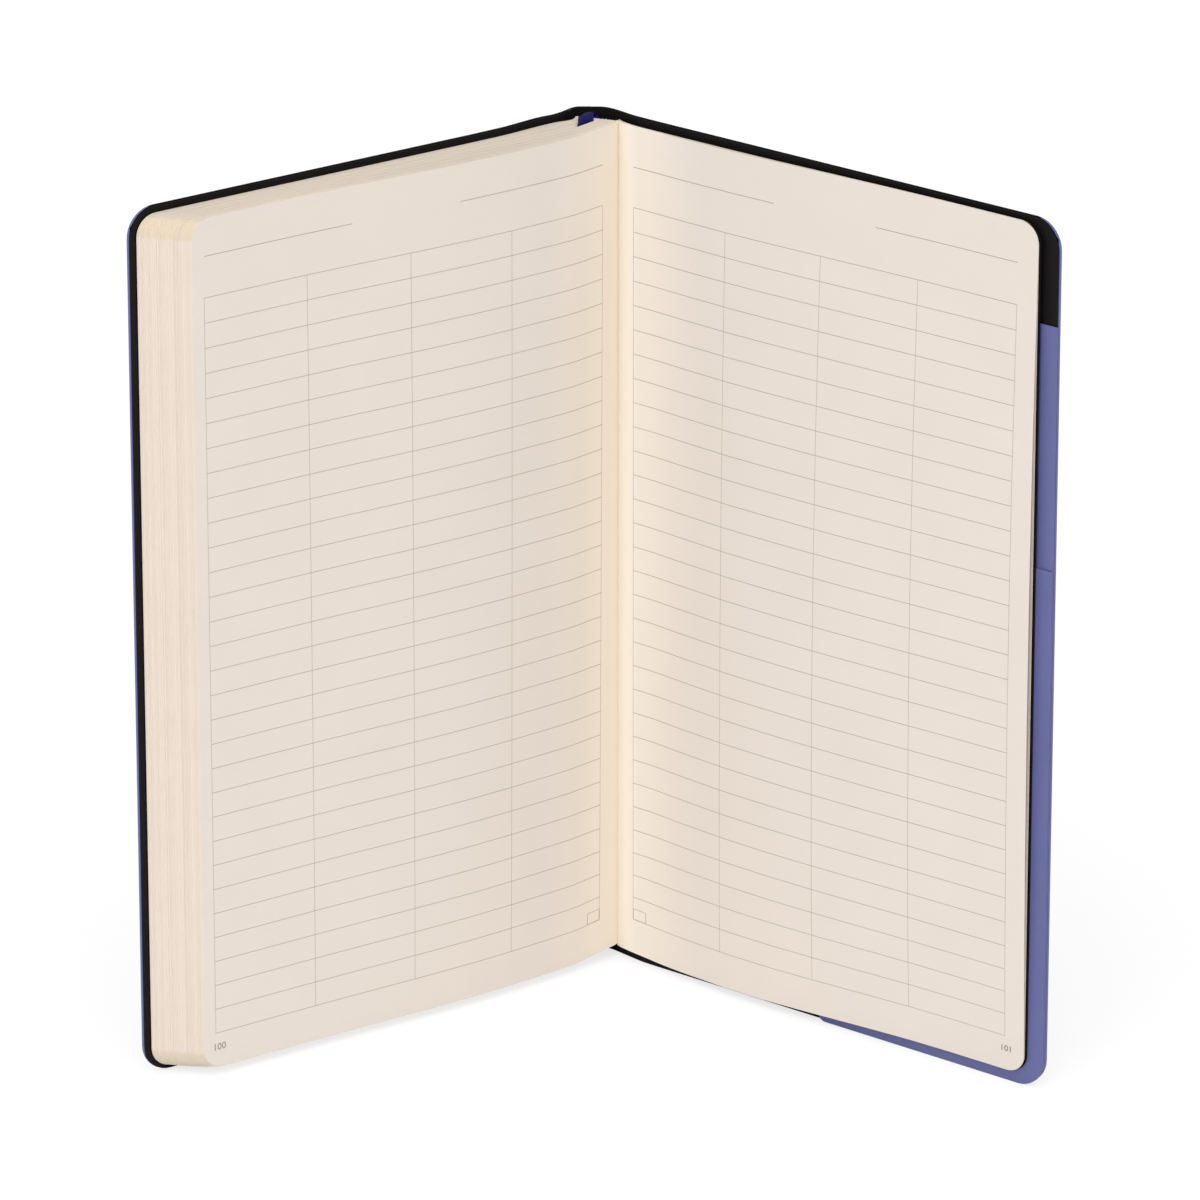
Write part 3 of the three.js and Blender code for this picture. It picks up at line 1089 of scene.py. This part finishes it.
# depth, thickness and shortness in millimetres; bow is how much of the page's form a leaf takes
lastLeaf = {"thickness": 0.09, "finishes": ("paper", "edge"), "slot": "paper", "node": "last_leaves"}
rightLeaves = {
    # the back flyleaf reaches 0.25 mm past its line, so its black fore edge shows beside the page: partly the
    # flyleaf itself, partly a black strip standing in for the shadow between page and pocket
    "backFlyleaf": {"depth": 2.25, "thickness": 0.15, "bow": 0.0, "short": -0.25,
                    "finishes": ("lining", "lining"), "slot": "lining", "node": "back_flyleaf"},
    "lastLeafOne": {**lastLeaf, "depth": 2.45, "bow": 0.06, "short": 0.35},
    "lastLeafTwo": {**lastLeaf, "depth": 2.56, "bow": 0.16, "short": 0.2},
    "lastLeafThree": {**lastLeaf, "depth": 2.67, "bow": 0.32, "short": 0.3},
    "rightPage": {"depth": 2.80, "thickness": 0.1, "bow": 1.0, "short": 0.0, "rootY": -5.6 * mm,
                  "finishes": ("rightPage", "edge"), "slot": "paper", "node": "top_leaf"},
}


def rightLine(leaf, index):
    root = Vector((right["rootX"] - index * right["rootStep"], leaf.get("rootY", right["rootY"])))
    onLeaf = backFold + backIn * leaf["depth"] * mm
    corner = onLeaf - backAlong * ((onLeaf.x - root.x) / backAlong.x)
    land = corner + backAlong * right["land"]
    foldPull, leafPull = right["pull"]
    bend = curve(root, root.lerp(corner, foldPull), land.lerp(corner, leafPull), land, 18)
    return PlanLine(bend + [onLeaf + backAlong * rightLeafEnd])


def bowed(share):
    # where the page dips towards the cover, the leaves behind it dip as far
    def lift(distance, height):
        stand = formLift("right", distance, height)
        return stand * share if stand > 0 else stand
    return lift


def makeRightLeaves():
    for index, (name, leaf) in enumerate(rightLeaves.items()):
        line, thickness, lift = rightLine(leaf, index), leaf["thickness"] * mm, bowed(leaf["bow"])
        size = sheetSize(0, line.length - leaf["short"] * mm, leafBottom, leafTop, right["radius"])
        bm = bmesh.new()
        makeLeaf(bm, line, size, thickness, "right", lift, right["tone"])
        for vert in bm.verts:
            # the leaves on this side sit a little skew: higher towards the fore edge
            skew = ease(*right["skew"], (vert.co.xy - backFold).dot(backAlong))
            tail, head = mix(*right["tailRise"], skew), mix(*right["headRise"], skew)
            vert.co.z += tail * tailFade(vert.co.z) + head * vert.co.z / leafTop
        piece = finishPiece(name, bm, leaf["finishes"], leaf["slot"])
        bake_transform(piece)
        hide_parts(leaf["node"])
    # the last one made is the page
    number = makePageNumber("rightNumber", "101", "right", line, thickness, lift, right["tailRise"][1])
    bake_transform(number)


flyleaf = {
    "off": 0.2 * mm,  # from the first leaf
    "start": 1.4 * mm,
    "short": 1.2 * mm,
    "thickness": 0.15 * mm,
    "rootWay": 2.9 * mm,  # how far the leaves' own line runs before the bend
}


def makeFrontFlyleaf():
    start = firstBend - frontIn * flyleaf["off"]
    line = PlanLine([start, start + frontAlong * frontEdge])
    size = sheetSize(flyleaf["start"], frontEdge - flyleaf["short"], leafBottom, leafTop, block["radius"])
    follow, way = leftLift(0), flyleaf["rootWay"]
    bm = bmesh.new()
    makeLeaf(bm, line, size, flyleaf["thickness"], "left", lambda x, z: follow(x + way, z), 0.0)
    piece = finishPiece("frontFlyleaf", bm, ("lining", "lining"), "lining")
    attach(piece, "section_01")
    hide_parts("front_flyleaf")


pocket = {
    "width": 64.8 * mm,
    "thickness": 0.45 * mm,
    "radius": 6.9 * mm,
    "rootRadius": 2.2 * mm,
    "proud": 0.2 * mm,  # its turned edge stands this far past the cover's
    "rim": 0.15 * mm,
}
# each panel's place in the frame, and its depth over the cover
pocketPanels = {
    "pocketBack": ("pocket_back_panel", 1.2 * mm),
    "pocketFront": ("pocket_front_panel", 1.7 * mm),
}


def makePocket():
    toPlace = coverPlace(PlanLine([backFold, backFold + backAlong * backEdge]), 1)
    for name, (node, depth) in pocketPanels.items():
        low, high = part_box(node)
        start, end = backEdge - pocket["width"], backEdge + pocket["proud"]
        rounds = {"headRadius": 0, "rootRadius": pocket["rootRadius"]}
        size = sheetSize(start, end, low.z, high.z, pocket["radius"], **rounds)
        bm = startSheet(size, steps(start, end, 24), steps(low.z, high.z, 36))
        thicken(bm, pocket["thickness"])
        bm.normal_update()
        roundRim(bm, pocket["rim"])
        unroll(bm, lambda co: co.x)
        shapeSheet(bm, lambda x, y, z: toPlace(x, y + depth, z))
        piece = finishPiece(name, bm, ("skin",), "skin")
        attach(piece, "back_cover")
        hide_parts(node)


makeRightLeaves()
makeFrontFlyleaf()
makePocket()
print("right leaves, flyleaves and pocket made")

ribbon = {
    "width": 6 * mm,
    "length": 40 * mm,
    "thickness": 0.2 * mm,
    "depth": 4.57 * mm,  # which leaves it lies between
    "under": plan(-3.3, -7.8),  # where it goes down between them
    "behind": plan(-2.5, -1.5),  # where it comes up behind the block
    "hidden": 14 * mm,
    "crown": 0.95 * mm,
    "cup": 2.6 * mm,  # how far its edges hang below its middle there
    "narrow": 0.1,  # how much of its width is gathered in
    "bendStart": plan(-1.5, -3.2),
}


def onSmoothLine(points, index, share):
    # a place between a point and the next, on a smooth line through them all
    a, b = points[index], points[index + 1]
    before, after = points[max(index - 1, 0)], points[min(index + 2, len(points) - 1)]
    bend = 3 * (a - b) + after - before
    return a + 0.5 * share * (b - before + share * (2 * before - 5 * a + 4 * b - after + share * bend))


def makeRibbon():
    # comes up between spine and block, over the head, and down between two leaves
    line = leftLine(ribbon["depth"])
    under, heading = line.at(line.nearest(ribbon["under"]))
    behind, back, crown = ribbon["behind"], plan(-1, 0), ribbon["crown"]
    # where its middle passes, how high, and which way its width lies
    stations = [
        (behind, leafTop - 12 * mm, back),
        (behind, leafTop - 4 * mm, back),
        (behind, leafTop - 0.6 * mm, back),
        (behind.lerp(under, 0.16), leafTop + 0.75 * crown, back.lerp(heading, 0.2)),
        (behind.lerp(under, 0.45), leafTop + crown, back.lerp(heading, 0.5)),
        (behind.lerp(under, 0.76), leafTop + 0.7 * crown, back.lerp(heading, 0.85)),
        (under, leafTop - 0.3 * mm, heading),
        (under, leafTop - 5 * mm, heading),
        (under, leafTop - ribbon["hidden"], heading),
    ]
    spine = [place3d(spot, height) for spot, height, sideways in stations]
    bm = bmesh.new()
    bmesh.ops.create_grid(bm, x_segments=10, y_segments=48, size=0.5)
    layer = bm.loops.layers.uv.new("flat")
    for face in bm.faces:
        for loop in face.loops:
            x, y = loop.vert.co.xy
            loop[layer].uv = ((x + 0.5) * ribbon["width"], (y + 0.5) * ribbon["length"])
    last = len(stations) - 1
    for vert in bm.verts:
        across, place = vert.co.x, (vert.co.y + 0.5) * last
        index = min(int(place), last - 1)
        share = place - index
        centre = onSmoothLine(spine, index, share)
        sideways = stations[index][2].lerp(stations[index + 1][2], share).normalized()
        # over the head it is cupped and gathered in; the numbers are stations, counted from 0
        cup = (across ** 2 - 0.1) * ribbon["cup"] * ease(2, 4, place) * (1 - ease(5, 6, place))
        narrow = 1 - ribbon["narrow"] * ease(1.5, 3.5, place) * (1 - ease(4.5, 6.5, place))
        vert.co = centre + place3d(sideways) * across * ribbon["width"] * narrow + Vector((0, 0, -cup))
    bmesh.ops.solidify(bm, geom=bm.faces[:], thickness=ribbon["thickness"])
    piece = finishPiece("ribbonMarker", bm, ("ribbon",), "ribbon")
    place3d(under, 0)
    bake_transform(piece)
    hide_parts("ribbon_marker")


gauze = {
    "tail": 8 * mm,  # how far it stops short of the leaves' ends
    "head": 16 * mm,
    "inset": 0.3 * mm,
    "offLeft": 0.12 * mm,  # from the backs of the first and the last fold
    "offRight": 0.22 * mm,
    "thickness": 0.2 * mm,
}


def makeGauze():
    # open cloth glued down the backs of the folds
    side = -firstBend.x - gauze["inset"]
    left = Vector((-side, block["backLeft"] + gauze["offLeft"]))
    line = PlanLine([left, Vector((side, block["backRight"] + gauze["offRight"]))])
    low, high = leafBottom + gauze["tail"], leafTop - gauze["head"]
    bm = startSheet(sheetSize(0, line.length, low, high, 0), steps(0, line.length, 8), steps(low, high, 12))
    thicken(bm, gauze["thickness"])
    unroll(bm, lambda co: co.x)
    shapeSheet(bm, lambda x, y, z: place3d(line.at(x)[0] + Vector((0, y)), z))
    piece = finishPiece("spineGauze", bm, ("gauze",), "mull")
    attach(piece, "spine")
    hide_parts("spine_mull")


makeRibbon()
makeGauze()
print("ribbon and spine gauze made")
